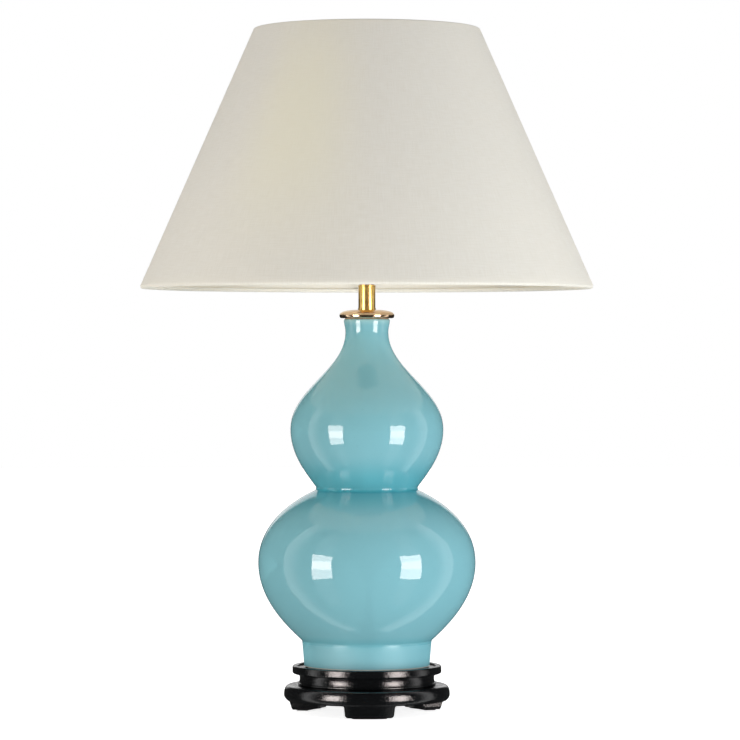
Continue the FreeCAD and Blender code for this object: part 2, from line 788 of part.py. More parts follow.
def bulb_cap():
    """Metal screw cap with its threads left plain, tapering in below to the insulator."""
    low_z = bulb_z + bulb_contact_height + bulb_insulator_height
    high_z = bulb_z + bulb_cap_height
    taper_z = low_z + bulb_cap_taper
    sheet = bulb_cap_sheet
    return turned([(bulb_cap_foot_r - sheet, low_z), (bulb_cap_foot_r, low_z), (bulb_cap_r, taper_z),
                   (bulb_cap_r, high_z), (bulb_cap_r - sheet, high_z), (bulb_cap_r - sheet, taper_z)])


def bulb_insulator():
    low_z = bulb_z + bulb_contact_height
    high_z = low_z + bulb_insulator_height
    return turned([(0, low_z), (bulb_contact_r, low_z), (bulb_cap_foot_r, high_z), (0, high_z)])


def bulb_contact():
    body = Part.makeCylinder(bulb_contact_r, bulb_contact_height, at(0, bulb_z))
    return body.makeFillet(bulb_contact_round, circles_at(body, bulb_contact_r, bulb_z))


def bulb_stem():
    """Glass mount: a flare sealed to the neck and a column that carries the filaments."""
    low_z = bulb_z + bulb_cap_height - bulb_neck_in_cap
    flare_z = low_z + bulb_stem_flare_height
    high_z = low_z + bulb_stem_height
    outline = [
        line(at(0, low_z), at(bulb_stem_flare_r, low_z)),
        bezier(at(bulb_stem_flare_r, low_z), at(bulb_stem_r, low_z), at(bulb_stem_r, flare_z)),
        line(at(bulb_stem_r, flare_z), at(bulb_stem_r, high_z)),
        line(at(bulb_stem_r, high_z), at(0, high_z)),
        line(at(0, high_z), at(0, low_z)),
    ]
    return spin(outline)


def bulb_filaments():
    """Upright filaments in a ring round the glass column, on a wire cross at its top."""
    top_z = bulb_z + bulb_cap_height - bulb_neck_in_cap + bulb_stem_height
    stick = rod(filament_r, filament_length, at(filament_circle_r, top_z + filament_r - filament_length),
                FreeCAD.Vector(0, 0, 1))
    arm = rod(filament_r / 2, filament_circle_r, at(0, top_z + filament_r / 2), FreeCAD.Vector(1, 0, 0))
    cage = pattern(stick, filament_count) + pattern(arm, filament_count)
    body = cage[0]
    for piece in cage[1:]:
        body = body.fuse(piece)
    return body


# --- shade carrier ------------------------------------------------------------------------------
def fitter_ring():
    body = ring(fitter_bore_r, fitter_r, fitter_z, fitter_z + fitter_thickness)
    return body.makeFillet(fitter_round, circles_at(body, fitter_r, fitter_z + fitter_thickness))


def strut():
    """One arm: level where it is welded to the fitter ring, then down to the shade's lower wire."""
    wire = lower_wire_centre()
    start = at(fitter_r - strut_let_in, fitter_z + fitter_thickness / 2)
    elbow = at(start.x + strut_flat, start.z)
    fall = math.degrees(math.atan2(wire.z - elbow.z, wire.x - elbow.x))
    cut_back = strut_bend_r * math.tan(math.radians(abs(fall) / 2))
    before = at(elbow.x - cut_back, elbow.z)
    after = step(elbow, fall, cut_back)
    centre = at(before.x, before.z - strut_bend_r)
    middle = step(centre, 90.0 + fall / 2, strut_bend_r)
    end = step(wire, fall, -(shade_wire_r - strut_bite))
    path = Part.Wire([line(start, before), arc(before, middle, after), line(after, end)])
    section = Part.Wire(Part.Circle(start, FreeCAD.Vector(1, 0, 0), strut_r).toShape())
    arm = path.makePipeShell([section], True, False)
    return arm.cut(fitter_ring()).cut(shade_wire(wire))


def fitter_struts():
    return pattern(strut(), strut_count, BACK)


def clamp_ring():
    """Threaded ring that holds the carrier on the shoulder: a flange under a collar with finger grips."""
    inner_r = shell_r + RUNNING
    flange_z = clamp_z + clamp_ring_flange
    collar_z = clamp_z + clamp_ring_height
    body = turned([(inner_r, clamp_z), (clamp_ring_r, clamp_z), (clamp_ring_r, flange_z),
                   (clamp_ring_collar_r, flange_z), (clamp_ring_collar_r, collar_z), (inner_r, collar_z)])
    body = body.makeFillet(clamp_ring_round, circles_at(body, clamp_ring_r, flange_z))
    groove = rod(clamp_grip_r, clamp_ring_height, at(clamp_ring_r, clamp_z), FreeCAD.Vector(0, 0, 1))
    for cutter in pattern(groove, clamp_grip_count):
        body = body.cut(cutter)
    return body


# --- shade --------------------------------------------------------------------------------------
def slant():
    """Angle of the shade's wall from level, in degrees: over 90, because it leans inward."""
    return math.degrees(math.atan2(shade_height, shade_top_r - shade_bottom_r))


def hem_r():
    """Outer radius of the rolled edge: the wire with the fabric round it."""
    return shade_wire_r + hem_slack + shade_fabric_thickness


def lower_wire_centre():
    """Centre of the lower wire: its rolled edge touches the wall's line and the shade's lowest level."""
    up = hem_r() * math.tan(math.radians(slant() / 2))
    touching = step(at(shade_bottom_r, shade_z), slant(), up)
    return step(touching, slant() + 90.0, hem_r())


def upper_wire_centre():
    down = hem_r() / math.tan(math.radians(slant() / 2))
    touching = step(at(shade_top_r, shade_top_z), slant(), -down)
    return step(touching, slant() + 90.0, hem_r())


def shade_wire(centre):
    return Part.makeTorus(centre.x, shade_wire_r, at(0, centre.z))


def shade_fabric():
    """Cone wall rolled round both wires and tucked in behind them, notched where the struts pass."""
    low = lower_wire_centre()
    high = upper_wire_centre()
    outward = slant() - 90.0
    low_end = outward - 180.0 - hem_tuck_angle
    high_end = outward + 180.0 + hem_tuck_angle
    outer_r = hem_r()
    inner_r = outer_r - shade_fabric_thickness

    def curl(centre, radius, first, last):
        middle = step(centre, (first + last) / 2, radius)
        return arc(step(centre, first, radius), middle, step(centre, last, radius))

    outline = [
        line(step(low, outward, outer_r), step(high, outward, outer_r)),
        curl(high, outer_r, outward, high_end),
        line(step(high, high_end, outer_r), step(high, high_end, inner_r)),
        curl(high, inner_r, high_end, outward),
        line(step(high, outward, inner_r), step(low, outward, inner_r)),
        curl(low, inner_r, outward, low_end),
        line(step(low, low_end, inner_r), step(low, low_end, outer_r)),
        curl(low, outer_r, low_end, outward),
    ]
    body = spin(outline)
    for arm in fitter_struts():
        body = body.cut(arm)
    return body


def shade_lining():
    """Stiff sheet behind the fabric, between the two rolled edges."""
    out_of_hem = hem_r() - shade_fabric_thickness - shade_lining_thickness
    clear = math.sqrt(hem_r() ** 2 - out_of_hem ** 2) + lining_setback
    outward = slant() - 90.0
    wall = hem_r() - shade_fabric_thickness
    low = step(step(lower_wire_centre(), outward, wall), slant(), clear)
    high = step(step(upper_wire_centre(), outward, wall), slant(), -clear)
    high_inside = step(high, outward, -shade_lining_thickness)
    low_inside = step(low, outward, -shade_lining_thickness)
    return turned([(corner.x, corner.z) for corner in (low, high, high_inside, low_inside)])


# --- write one file per piece -------------------------------------------------------------------
os.makedirs("parts", exist_ok=True)
save("foot_pads", *foot_pads())
save("stand_leg_ring", leg_ring())
save("stand_waist_ring", waist_ring())
save("cable_grommet", cable_grommet())
save("stand_tray", tray())
save("vase_seat_ring", seat_ring())
save("vase_body", vase())
save("mouth_gasket", mouth_gasket())
save("vase_cap", vase_cap())
save("stem_collar", tube_collar())
save("stem_tube", stem_tube())
save("stem_top_washer", top_washer())
save("threaded_rod", threaded_rod())
save("stand_washer", stand_washer())
save("lock_washer", lock_washer())
save("stand_nut", hex_nut())
save("holder_cap", holder_cap())
save("holder_grub_screw", grub_screw())
save("holder_shell", holder_shell())
save("terminal_block", terminal_block())
save("terminal_screws", *terminal_screws())
save("centre_contact", centre_contact())
save("insulating_sleeve", insulating_sleeve())
save("screw_liner", screw_liner())
save("switch_bar", switch_bar())
save("switch_buttons", *switch_buttons())
save("bulb_globe", bulb_globe())
save("bulb_cap", bulb_cap())
save("bulb_insulator", bulb_insulator())
save("bulb_contact", bulb_contact())
save("bulb_stem", bulb_stem())
save("bulb_filaments", bulb_filaments())
save("fitter_ring", fitter_ring())
save("fitter_struts", *fitter_struts())
save("clamp_ring", clamp_ring())
save("shade_lower_wire", shade_wire(lower_wire_centre()))
save("shade_upper_wire", shade_wire(upper_wire_centre()))
save("shade_fabric", shade_fabric())
save("shade_lining", shade_lining())
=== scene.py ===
import json
import math

import bpy
import numpy as np
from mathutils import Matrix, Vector


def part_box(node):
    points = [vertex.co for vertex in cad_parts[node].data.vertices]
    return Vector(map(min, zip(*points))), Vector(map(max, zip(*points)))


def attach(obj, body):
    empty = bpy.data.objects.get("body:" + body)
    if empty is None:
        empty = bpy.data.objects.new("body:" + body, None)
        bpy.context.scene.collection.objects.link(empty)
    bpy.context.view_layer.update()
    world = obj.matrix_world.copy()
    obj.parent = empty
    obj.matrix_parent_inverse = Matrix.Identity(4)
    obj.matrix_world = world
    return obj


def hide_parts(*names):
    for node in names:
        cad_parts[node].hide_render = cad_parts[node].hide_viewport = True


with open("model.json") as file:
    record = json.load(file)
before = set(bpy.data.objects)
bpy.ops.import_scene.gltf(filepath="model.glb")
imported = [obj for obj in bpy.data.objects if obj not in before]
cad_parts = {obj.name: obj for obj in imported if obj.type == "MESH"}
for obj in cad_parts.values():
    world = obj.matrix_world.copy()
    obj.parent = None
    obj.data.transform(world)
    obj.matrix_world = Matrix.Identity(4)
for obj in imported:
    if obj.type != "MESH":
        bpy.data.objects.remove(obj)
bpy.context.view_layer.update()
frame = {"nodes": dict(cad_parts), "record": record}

nodes = frame["nodes"]

# --- sizes, in metres -----------------------------------------------------------------------------
MM = 0.001
SHADE_LOW = 476.3 * MM
SHADE_HEIGHT = 292.2 * MM
SHADE_BOTTOM_R = 255.6 * MM
SHADE_TOP_R = 126.8 * MM
SHADE_MIDDLE_R = 0.19
CLOTH = 0.8 * MM
WIRE_R = 1.75 * MM
HEM_SLACK = 0.1 * MM
TUCK = math.radians(30.0)
LAP = 11.0 * MM
LAP_RAMP = 7.0 * MM
LAP_LIFT = CLOTH * 1.05
# waves of the cloth round the shade: how many, height, phase
RIPPLES = ((5, 0.12 * MM, 0.0), (11, 0.08 * MM, 1.0))

ROD_R = 5.0 * MM
ROD_BORE_R = 3.5 * MM
ROD_PITCH = 1.0 * MM
ROD_THREAD = 0.35 * MM
ROD_THREAD_TOP = 46.0 * MM

FELT_EDGE = 0.35 * MM

VASE_Z = 52.3 * MM
FOOT_CREASE_Z = 81.3 * MM
CREASE_Z = 251.3 * MM
VASE_MIDDLE_Z = 0.24
LIP_Z = 442.5 * MM

# --- how finely the pieces are divided ------------------------------------------------------------
CLOTH_STEPS = 360
RAMP_STEPS = 12
WALL_STEPS = 40
CURL_STEPS = 20
ROD_SIDES = 32
ROD_ROWS_PER_TURN = 6
FELT_EDGE_STEPS = 3

# the angles of the cloth are told apart to this many digits
ANGLE_DIGITS = 7
# edges bent by more than this stay sharp, in degrees
CLOTH_SHARP = 50.0
ROD_SHARP = 40.0
# edges of the felt bent by more than this are softened, in degrees
FELT_CORNER = 40.0


# --- mesh helpers ---------------------------------------------------------------------------------
def mesh_object(name, points, faces):
    mesh = bpy.data.meshes.new(name)
    mesh.from_pydata([tuple(p) for p in points], [], faces)
    mesh.validate()
    made = bpy.data.objects.new(name, mesh)
    bpy.context.collection.objects.link(made)
    return made


def shade_smooth(piece, sharp):
    piece.data.shade_smooth()
    piece.data.set_sharp_from_angle(angle=math.radians(sharp))


def grid_faces(rows, columns, wrap_rows=False, wrap_columns=False):
    """Quads between the points of a grid that is numbered row by row."""
    faces = []
    for i in range(rows if wrap_rows else rows - 1):
        for j in range(columns if wrap_columns else columns - 1):
            below = (i + 1) % rows
            right = (j + 1) % columns
            faces.append((i * columns + j, below * columns + j, below * columns + right, i * columns + right))
    return faces


def flipped(faces):
    return [tuple(reversed(face)) for face in faces]


def direction(angle):
    return np.array([math.cos(angle), math.sin(angle)])


# --- shade cloth ----------------------------------------------------------------------------------
def shade_section():
    """Middle line of the cloth from the lower tuck to the upper one, with its outward normals."""
    slant = math.atan2(SHADE_HEIGHT, SHADE_TOP_R - SHADE_BOTTOM_R)
    outward = slant - math.pi / 2
    hem_r = WIRE_R + HEM_SLACK + CLOTH
    middle_r = hem_r - CLOTH / 2
    along = direction(slant)
    inward = direction(slant + math.pi / 2)
    bottom = np.array([SHADE_BOTTOM_R, SHADE_LOW])
    top = np.array([SHADE_TOP_R, SHADE_LOW + SHADE_HEIGHT])
    low = bottom + along * hem_r * math.tan(slant / 2) + inward * hem_r
    high = top - along * hem_r / math.tan(slant / 2) + inward * hem_r
    points = []
    normals = []
    for angle in np.linspace(outward - math.pi - TUCK, outward, CURL_STEPS):
        points.append(low + middle_r * direction(angle))
        normals.append(direction(angle))
    start = low + middle_r * direction(outward)
    end = high + middle_r * direction(outward)
    for share in np.linspace(0, 1, WALL_STEPS)[1:-1]:
        points.append(start + share * (end - start))
        normals.append(direction(outward))
    for angle in np.linspace(outward, outward + math.pi + TUCK, CURL_STEPS):
        points.append(high + middle_r * direction(angle))
        normals.append(direction(angle))
    return np.array(points), np.array(normals)


def shade_cloth():
    """One strip of cloth wrapped round the shade, its end lapped over its start at the back."""
    middle, normals = shade_section()
    outer = middle + normals * CLOTH / 2
    inner = middle - normals * CLOTH / 2
    lap_angle = LAP / SHADE_BOTTOM_R
    ramp_angle = LAP_RAMP / SHADE_BOTTOM_R
    start = math.pi / 2 - lap_angle / 2
    turn = 2 * math.pi + lap_angle
    ramp_start = turn - lap_angle - ramp_angle
    angles = np.concatenate([np.linspace(0, turn, CLOTH_STEPS), np.linspace(ramp_start, turn, RAMP_STEPS)])
    angles = np.unique(np.round(angles, ANGLE_DIGITS))
    section = np.concatenate([outer, inner[::-1]])
    outward = normals[len(normals) // 2]
    points = []
    for angle in angles:
        lifted = np.clip((angle - ramp_start) / ramp_angle, 0, 1)
        lift = LAP_LIFT * lifted * lifted * (3 - 2 * lifted)
        ripple = sum(height * math.sin(count * angle + phase) for count, height, phase in RIPPLES)
        for r, z in section:
            radius = r + outward[0] * (lift + ripple)
            height = z + outward[1] * lift
            points.append((radius * math.cos(start + angle), radius * math.sin(start + angle), height))
    rows = len(angles)
    columns = len(section)
    faces = flipped(grid_faces(rows, columns, wrap_columns=True))
    last = (rows - 1) * columns
    for i in range(len(outer) - 1):
        mate = columns - 1 - i
        faces.append((i, i + 1, mate - 1, mate))
        faces.append((last + mate, last + mate - 1, last + i + 1, last + i))
    piece = mesh_object("shade_cloth", points, faces)
    shade_smooth(piece, CLOTH_SHARP)
    return piece


# --- threaded rod ---------------------------------------------------------------------------------
def threaded_rod():
    """The hollow rod, with its real thread on the end that shows under the stand."""
    low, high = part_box("threaded_rod")
    turns = [k / ROD_SIDES for k in range(ROD_SIDES)]
    threaded = np.arange(low[2], ROD_THREAD_TOP, ROD_PITCH / ROD_ROWS_PER_TURN)
    heights = list(threaded) + [ROD_THREAD_TOP, high[2]]
    points = []
    for z in heights:
        fade = min(1.0, max(0.0, (ROD_THREAD_TOP - z) / ROD_PITCH))
        for turn in turns:
            phase = (z / ROD_PITCH - turn) % 1.0
            radius = ROD_R - ROD_THREAD * abs(2 * phase - 1) * fade
            points.append((*(radius * direction(2 * math.pi * turn)), z))
    for z in (high[2], low[2]):
        for turn in turns:
            points.append((*(ROD_BORE_R * direction(2 * math.pi * turn)), z))
    faces = flipped(grid_faces(len(heights) + 2, ROD_SIDES, wrap_rows=True, wrap_columns=True))
    piece = mesh_object("rod_with_thread", points, faces)
    shade_smooth(piece, ROD_SHARP)
    return piece


# --- felt pads ------------------------------------------------------------------------------------
def felt_pads():
    """The pads under the feet, their cut edges softened."""
    piece = bpy.data.objects.new("felt_pads", nodes["foot_pads"].data.copy())
    bpy.context.collection.objects.link(piece)
    bevel = piece.modifiers.new("soft_edges", "BEVEL")
    bevel.width = FELT_EDGE
    bevel.segments = FELT_EDGE_STEPS
    bevel.limit_method = "ANGLE"
    bevel.angle_limit = math.radians(FELT_CORNER)
    return piece


# --- node trees -----------------------------------------------------------------------------------
class Wiring:
    """Short ways to add and join the nodes of a tree."""

    def __init__(self, tree):
        self.tree = tree

    def feed(self, socket, value):
        if isinstance(value, bpy.types.NodeSocket):
            self.tree.links.new(value, socket)
        else:
            socket.default_value = value

    def node(self, kind, inputs=None, **settings):
        made = self.tree.nodes.new(kind)
        for key, value in settings.items():
            setattr(made, key, value)
        for key, value in (inputs or {}).items():
            self.feed(made.inputs[key], value)
        return made

    def math(self, operation, first, second=0.0, clamp=False):
        made = self.node("ShaderNodeMath", {0: first, 1: second}, operation=operation, use_clamp=clamp)
        return made.outputs[0]

    def scaled(self, value, old, new, curve="LINEAR"):
        """From the first new value to the second as the value goes from the first old one to the second."""
        inputs = {"Value": value, "From Min": old[0], "From Max": old[1], "To Min": new[0], "To Max": new[1]}
        return self.node("ShaderNodeMapRange", inputs, interpolation_type=curve).outputs[0]

    def blend(self, share, first, second):
        """The first shader at a share of 0, the second at 1."""
        return self.node("ShaderNodeMixShader", {0: share, 1: first, 2: second}).outputs[0]

    def straight_ray(self):
        """The kinds of ray, and a value that is 1 for one from the camera or on through glass."""
        rays = self.node("ShaderNodeLightPath").outputs
        return rays, self.math("MAXIMUM", rays["Is Camera Ray"], rays["Is Transmission Ray"])


class Paint(Wiring):
    """A material and short ways to wire its nodes."""

    def __init__(self, name):
        self.material = bpy.data.materials.new(name)
        self.material.use_nodes = True
        super().__init__(self.material.node_tree)
        self.shader = self.tree.nodes["Principled BSDF"]
        self.output = self.tree.nodes["Material Output"]
        self.place = self.node("ShaderNodeTexCoord").outputs["Object"]

    def axes(self):
        parts = self.node("ShaderNodeSeparateXYZ", {0: self.place}).outputs
        return parts[0], parts[1], parts[2]

    def vector(self, x, y, z):
        return self.node("ShaderNodeCombineXYZ", {0: x, 1: y, 2: z}).outputs[0]

    def turn(self):
        """Angle about the lamp's axis, in radians."""
        x, y, _ = self.axes()
        return self.math("ARCTAN2", y, x)

    def reach(self):
        """Distance from the lamp's axis."""
        x, y, _ = self.axes()
        return self.math("SQRT", self.math("ADD", self.math("MULTIPLY", x, x), self.math("MULTIPLY", y, y)))

    def noise(self, vector, scale, detail, roughness, distortion=0.0):
        inputs = {"Vector": vector, "Scale": scale, "Detail": detail, "Roughness": roughness,
                  "Distortion": distortion}
        return self.node("ShaderNodeTexNoise", inputs).outputs[0]

    def mound(self, value, centre, width, top=1.0):
        """The top value at the centre, falling smoothly to 0 at a width away."""
        away = self.math("ABSOLUTE", self.math("SUBTRACT", value, centre))
        return self.scaled(away, (0.0, width), (top, 0.0), "SMOOTHERSTEP")

    def mix(self, share, first, second, blend="MIX"):
        made = self.node("ShaderNodeMix", data_type="RGBA", blend_type=blend)
        self.feed(made.inputs["Factor"], share)
        self.feed(made.inputs["A"], first)
        self.feed(made.inputs["B"], second)
        return made.outputs["Result"]

    def bump(self, height, depth, normal=None):
        inputs = {"Height": height, "Distance": depth, "Strength": 1.0}
        if normal is not None:
            inputs["Normal"] = normal
        return self.node("ShaderNodeBump", inputs).outputs[0]

    def finish(self, **values):
        for key, value in values.items():
            self.feed(self.shader.inputs[key.replace("_", " ")], value)
        return self.material

    def show(self, surface):
        self.feed(self.output.inputs["Surface"], surface)
        return self.material


def rgb(red, green, blue):
    """A colour given as it looks on screen, 0 to 255."""
    def linear(value):
        value = value / 255.0
        return value / 12.92 if value <= 0.04045 else ((value + 0.055) / 1.055) ** 2.4
    return (linear(red), linear(green), linear(blue), 1.0)


WHITE = (1.0, 1.0, 1.0, 1.0)
# the values between which most of a noise lies
NOISE_SPAN = (0.3, 0.7)

# --- glaze ----------------------------------------------------------------------------------------
GLAZE = rgb(126, 181, 191)
POOLED_GLAZE = rgb(62, 158, 172)
THIN_GLAZE = rgb(176, 209, 208)
GLAZE_SPECK = rgb(84, 140, 150)
BARE_CLAY = rgb(206, 205, 196)
# where the glaze pools: height, reach above and below it, share of the pooled colour
POOLS = (
    (CREASE_Z + 5 * MM, 42 * MM, 0.62),
    (CREASE_Z - 1 * MM, 6 * MM, 0.9),
    (FOOT_CREASE_Z - 1 * MM, 12 * MM, 0.30),
)
# how far the whole foot is mixed towards the pooled colour, darker towards the bottom
FOOT_DARKENING = 0.22
POOL_CLOUDS = 0.18
THIN_REACH = 9 * MM
THIN_SHARE = 0.45
SPECKS = (0.66, 0.74)
SPECK_SHARE = 0.16
BARE_RIM = (VASE_Z + 1.6 * MM, VASE_Z + 1.0 * MM)
FOOT_START = FOOT_CREASE_Z + 2 * MM
GLOSS = (0.012, 0.030)
BARE_ROUGHNESS = 0.4
FOOT_ROUGHNESS = 0.55
GLAZE_IOR = 1.52
GLAZE_WAVES = 0.35 * MM
ORANGE_PEEL = 0.010 * MM


def glaze():
    """Blue-green glaze that pools darker in the creases, is darker over the foot and thins over the lip."""
    p = Paint("glaze")
    _, _, z = p.axes()
    pools_and_darker_foot = p.scaled(z, (FOOT_START, FOOT_CREASE_Z - 4 * MM), (0.0, FOOT_DARKENING))
    for height, reach, share in POOLS:
        pools_and_darker_foot = p.math("MAXIMUM", pools_and_darker_foot, p.mound(z, height, reach, share))
    cloud = p.noise(p.place, scale=9.0, detail=4.0, roughness=0.55)
    clouds = p.math("MULTIPLY", p.math("SUBTRACT", cloud, 0.5), POOL_CLOUDS)
    body = p.mix(p.math("ADD", pools_and_darker_foot, clouds, clamp=True), GLAZE, POOLED_GLAZE)
    body = p.mix(p.mound(z, LIP_Z, THIN_REACH, THIN_SHARE), body, THIN_GLAZE)
    speck = p.noise(p.place, scale=420.0, detail=2.0, roughness=0.6)
    body = p.mix(p.scaled(speck, SPECKS, (0.0, SPECK_SHARE)), body, GLAZE_SPECK)
    bare = p.scaled(z, BARE_RIM, (0.0, 1.0))
    body = p.mix(bare, body, BARE_CLAY)
    rough = p.math("ADD", p.math("MULTIPLY", bare, BARE_ROUGHNESS), p.scaled(cloud, NOISE_SPAN, GLOSS))
    soft_foot = p.scaled(z, (FOOT_START, FOOT_CREASE_Z - 8 * MM), (0.0, FOOT_ROUGHNESS))
    rough = p.math("ADD", rough, soft_foot)
    waves = p.bump(p.noise(p.place, scale=30.0, detail=2.0, roughness=0.4), GLAZE_WAVES)
    orange_peel = p.bump(p.noise(p.place, scale=260.0, detail=2.0, roughness=0.5), ORANGE_PEEL, waves)
    return p.finish(Base_Color=body, Roughness=rough, Normal=orange_peel, IOR=GLAZE_IOR)


# --- other materials ------------------------------------------------------------------------------
LACQUER = (rgb(4, 5, 6), rgb(15, 16, 17))
LACQUER_ROUGHNESS = (0.03, 0.10)
LACQUER_IOR = 1.6
LACQUER_DEPTH = 0.22 * MM
PORES = (0.35, 0.65)
GRAIN_HEIGHT = 0.3
GRAIN_TURN = 0.006
STEEL = (rgb(176, 178, 182), rgb(212, 211, 205))
STEEL_ROUGHNESS = (0.24, 0.40)
STEEL_CELLS = 1100.0
STEEL_DEPTH = 0.02 * MM
FELT = (rgb(24, 24, 25), rgb(58, 57, 58))
FELT_ROUGHNESS = 0.98
FELT_SHEEN = 0.3
FELT_DEPTH = 0.25 * MM
POWDER = (rgb(228, 227, 221), rgb(240, 239, 234))
POWDER_ROUGHNESS = 0.42
POWDER_DEPTH = 0.04 * MM
PHOSPHOR = (rgb(236, 206, 120), rgb(250, 228, 160))
PHOSPHOR_ROUGHNESS = 0.7
CLOUDY_GLASS = rgb(250, 249, 244)
GLASS_IOR = 1.5
TARNISH = (0.35, 0.75)
TARNISH_SHARE = 0.5


def lacquered_wood():
    """Black lacquer over turned wood, its open grain filled unevenly, so that highlights sparkle."""
    p = Paint("lacquered_wood")
    _, _, z = p.axes()
    rings = p.vector(p.reach(), z, p.math("MULTIPLY", p.turn(), GRAIN_TURN))
    grain = p.noise(rings, scale=1600.0, detail=3.0, roughness=0.6)
    pores = p.noise(p.place, scale=600.0, detail=1.0, roughness=0.5)
    rough = p.scaled(pores, PORES, LACQUER_ROUGHNESS)
    height = p.math("ADD", p.math("MULTIPLY", grain, GRAIN_HEIGHT), pores)
    return p.finish(Base_Color=p.mix(grain, *LACQUER), Roughness=rough, Normal=p.bump(height, LACQUER_DEPTH),
                    IOR=LACQUER_IOR)


def plated_steel(name):
    """Bright plate with fine crystal cells."""
    p = Paint(name)
    cells = p.node("ShaderNodeTexVoronoi", {"Vector": p.place, "Scale": STEEL_CELLS}).outputs["Distance"]
    cloud = p.noise(p.place, scale=300.0, detail=3.0, roughness=0.6)
    rough = p.scaled(cells, (0.0, 1.0), STEEL_ROUGHNESS)
    return p.finish(Base_Color=p.mix(cloud, *STEEL), Metallic=1.0, Roughness=rough,
                    Normal=p.bump(cloud, STEEL_DEPTH))


def felt():
    p = Paint("felt")
    fibre = p.noise(p.place, scale=2400.0, detail=4.0, roughness=0.7, distortion=1.5)
    tuft = p.noise(p.place, scale=500.0, detail=2.0, roughness=0.5)
    normal = p.bump(p.math("ADD", fibre, tuft), FELT_DEPTH)
    return p.finish(Base_Color=p.mix(fibre, *FELT), Roughness=FELT_ROUGHNESS, Sheen_Weight=FELT_SHEEN,
                    Normal=normal)


def powder_coat():
    p = Paint("carrier_white")
    grain = p.noise(p.place, scale=1300.0, detail=2.0, roughness=0.5)
    return p.finish(Base_Color=p.mix(grain, *POWDER), Roughness=POWDER_ROUGHNESS,
                    Normal=p.bump(grain, POWDER_DEPTH))


def filament():
    p = Paint("filament_coat")
    grain = p.noise(p.place, scale=900.0, detail=2.0, roughness=0.5)
    return p.finish(Base_Color=p.mix(grain, *PHOSPHOR), Roughness=PHOSPHOR_ROUGHNESS)


def brass(name, colour, darker, rough, line_scale, depth):
    """Brass with fine lathe lines round the axis and a little tarnish."""
    p = Paint(name)
    _, _, z = p.axes()
    lines = p.noise(p.vector(p.reach(), z, 0.0), scale=line_scale, detail=2.0, roughness=0.6)
    cloud = p.noise(p.place, scale=60.0, detail=3.0, roughness=0.5)
    body = p.mix(p.scaled(cloud, TARNISH, (0.0, TARNISH_SHARE)), colour, darker)
    return p.finish(Base_Color=body, Metallic=1.0, Roughness=p.scaled(lines, NOISE_SPAN, rough),
                    Normal=p.bump(lines, depth))


def moulded(name, darker, lighter, rough, grain_scale, depth):
    """Moulded or pressed stuff: slight colour variation and a fine surface grain."""
    p = Paint(name)
    grain = p.noise(p.place, scale=grain_scale, detail=3.0, roughness=0.6)
    return p.finish(Base_Color=p.mix(grain, darker, lighter), Roughness=p.scaled(grain, NOISE_SPAN, rough),
                    Normal=p.bump(grain, depth))


def glass(name, tint, rough, clear):
    p = Paint(name)
    cloud = p.noise(p.place, scale=90.0, detail=2.0, roughness=0.5)
    return p.finish(Base_Color=p.mix(cloud, tint, CLOUDY_GLASS), Roughness=p.scaled(cloud, NOISE_SPAN, rough),
                    Transmission_Weight=clear, IOR=GLASS_IOR)


# --- cloth ----------------------------------------------------------------------------------------
THREAD = 0.42 * MM
SLUB_ALONG = 60.0
SLUB_ACROSS = 900.0
# threads that run round the shade and threads that run up it: slubs per metre each way, and a layer
SLUBS = ((SLUB_ALONG, SLUB_ACROSS, 0.0), (SLUB_ACROSS, SLUB_ALONG, 3.0))
# painted warm glow of light through the cloth, left of the front: its colour, share, angle about the axis,
# angular reach, height and reach in height
PAINTED_GLOW = rgb(252, 250, 226)
PAINTED_GLOW_SHARE = 0.5
PAINTED_GLOW_AT = math.radians(-117.0)
PAINTED_GLOW_WIDTH = math.radians(32.0)
PAINTED_GLOW_Z = 660.0 * MM
PAINTED_GLOW_HEIGHT = 200.0 * MM
AMBER = rgb(255, 238, 204)
CLOTH_ROUGHNESS = 0.95
CLOTH_SHEEN = 0.12
CLOTH_IOR = 1.4
UNEVEN = (0.7, 1.3)
WEAVE_HEIGHT = 0.25
WEAVE_DEPTH = 0.03 * MM


def cloth(name, warp_colour, weft_colour, through):
    """Fine plain weave with a painted warm glow left of the front, through which some light comes from
    behind.
    """
    p = Paint(name)
    _, _, z = p.axes()
    turn = p.turn()
    span = p.math("MULTIPLY", turn, SHADE_MIDDLE_R)
    warp, weft = [p.math("SINE", p.math("MULTIPLY", p.math("DIVIDE", length, THREAD), 2 * math.pi))
                  for length in (span, z)]
    slubs = []
    for around, upward, layer in SLUBS:
        place = p.vector(p.math("MULTIPLY", span, around), p.math("MULTIPLY", z, upward), layer)
        slubs.append(p.noise(place, scale=1.0, detail=2.0, roughness=0.5))
    uneven = p.math("ADD", *slubs)
    body = p.mix(p.scaled(uneven, UNEVEN, (0.0, 1.0)), warp_colour, weft_colour)
    # painted glow: a warmer colour mixed into the cloth left of the front, fixed to the cloth
    painted_glow = p.math("MULTIPLY", p.mound(turn, PAINTED_GLOW_AT, PAINTED_GLOW_WIDTH, PAINTED_GLOW_SHARE),
                  p.mound(z, PAINTED_GLOW_Z, PAINTED_GLOW_HEIGHT))
    body = p.mix(painted_glow, body, PAINTED_GLOW)
    height = p.math("ADD", p.math("MULTIPLY", warp, weft), uneven)
    normal = p.bump(p.math("MULTIPLY", height, WEAVE_HEIGHT), WEAVE_DEPTH)
    p.finish(Base_Color=body, Roughness=CLOTH_ROUGHNESS, Sheen_Weight=CLOTH_SHEEN, Normal=normal,
             IOR=CLOTH_IOR)
    from_behind = p.mix(1.0, body, AMBER, "MULTIPLY")
    back = p.node("ShaderNodeBsdfTranslucent", {"Color": from_behind, "Normal": normal}).outputs[0]
    return p.show(p.blend(through, p.shader.outputs[0], back))


